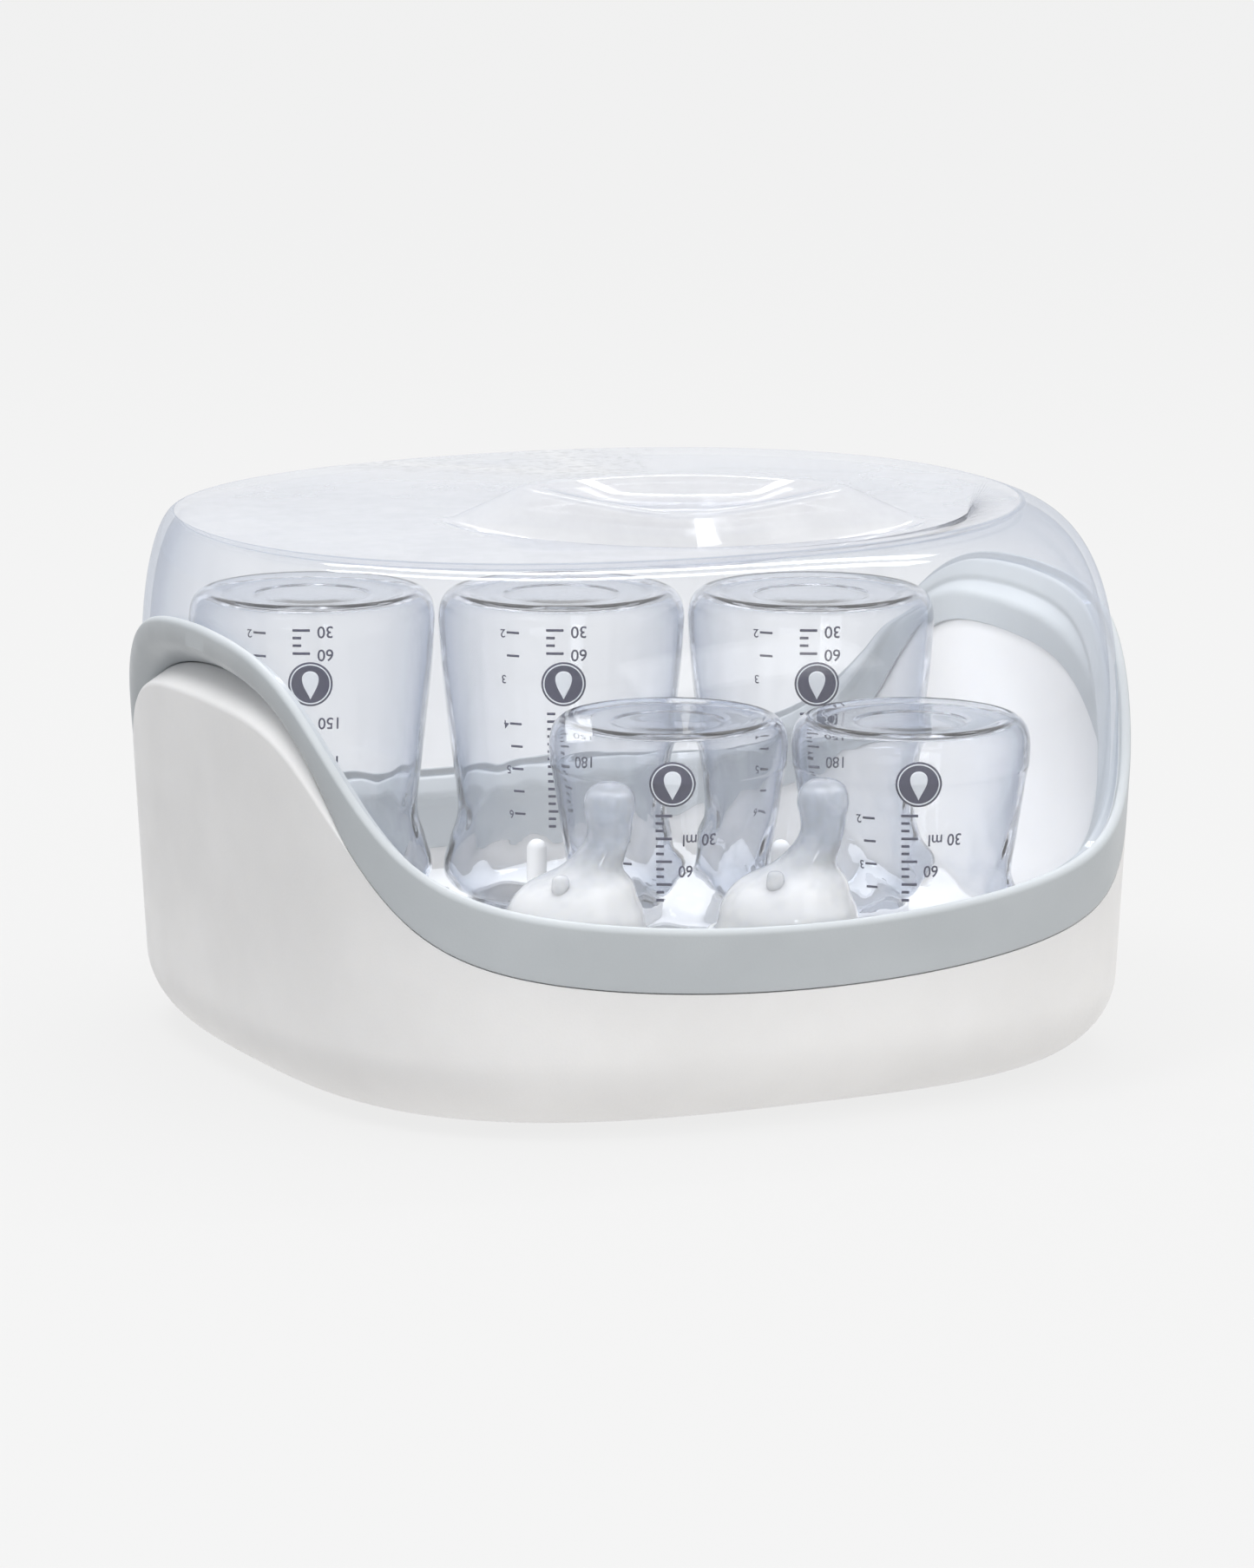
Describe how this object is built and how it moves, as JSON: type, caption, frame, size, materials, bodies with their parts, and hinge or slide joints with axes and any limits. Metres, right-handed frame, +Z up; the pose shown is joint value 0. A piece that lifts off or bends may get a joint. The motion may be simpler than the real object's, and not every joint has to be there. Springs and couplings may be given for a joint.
{
  "type": "bottle sterilizer",
  "caption": "Microwave steam sterilizer: a bowl base with a saddle-shaped rim, a lift-out rack loaded with upturned bottles and teats, and a clear domed lid.",
  "frame": {"origin": "middle of the flat foot, on the surface it stands on", "axes": "+X through the two raised ears, -Y the low front, +Z up"},
  "size_m": [0.2798, 0.2642, 0.168],
  "materials": {
    "white_plastic": "satin moulded polypropylene",
    "grey_plastic": "fine satin moulded plastic",
    "clear_plastic": "clear polished plastic",
    "bottle_plastic": "clear polished plastic with printed scale",
    "silicone": "soft translucent silicone"
  },
  "bodies": {
    "base": {"base_bowl": "white_plastic", "rim_band": "grey_plastic"},
    "rack": {"rack": "white_plastic"},
    "lid": {"lid": "clear_plastic"},
    "bottle_back_left": {"bottle_back_left": "bottle_plastic"},
    "bottle_back_middle": {"bottle_back_middle": "bottle_plastic"},
    "bottle_back_right": {"bottle_back_right": "bottle_plastic"},
    "bottle_front_left": {"bottle_front_left": "bottle_plastic"},
    "bottle_front_right": {"bottle_front_right": "bottle_plastic"},
    "teat_left": {"teat_left": "silicone"},
    "teat_right": {"teat_right": "silicone"}
  },
  "joints": [
    {"name": "rack_lift", "type": "slide", "parent": "base", "child": "rack", "axis": [0, 0, 1], "range_m": [0, 0.15]},
    {"name": "lid_lift", "type": "slide", "parent": "rack", "child": "lid", "axis": [0, 0, 1], "range_m": [0, 0.2]},
    {"name": "bottle_back_left_lift", "type": "slide", "parent": "rack", "child": "bottle_back_left", "axis": [0, 0, 1], "range_m": [0, 0.014]},
    {"name": "bottle_back_middle_lift", "type": "slide", "parent": "rack", "child": "bottle_back_middle", "axis": [0, 0, 1], "range_m": [0, 0.014]},
    {"name": "bottle_back_right_lift", "type": "slide", "parent": "rack", "child": "bottle_back_right", "axis": [0, 0, 1], "range_m": [0, 0.014]},
    {"name": "bottle_front_left_lift", "type": "slide", "parent": "rack", "child": "bottle_front_left", "axis": [0, 0, 1], "range_m": [0, 0.03]},
    {"name": "bottle_front_right_lift", "type": "slide", "parent": "rack", "child": "bottle_front_right", "axis": [0, 0, 1], "range_m": [0, 0.03]},
    {"name": "teat_left_lift", "type": "slide", "parent": "rack", "child": "teat_left", "axis": [0, 0, 1], "range_m": [0, 0.024]},
    {"name": "teat_right_lift", "type": "slide", "parent": "rack", "child": "teat_right", "axis": [0, 0, 1], "range_m": [0, 0.024]}
  ]
}
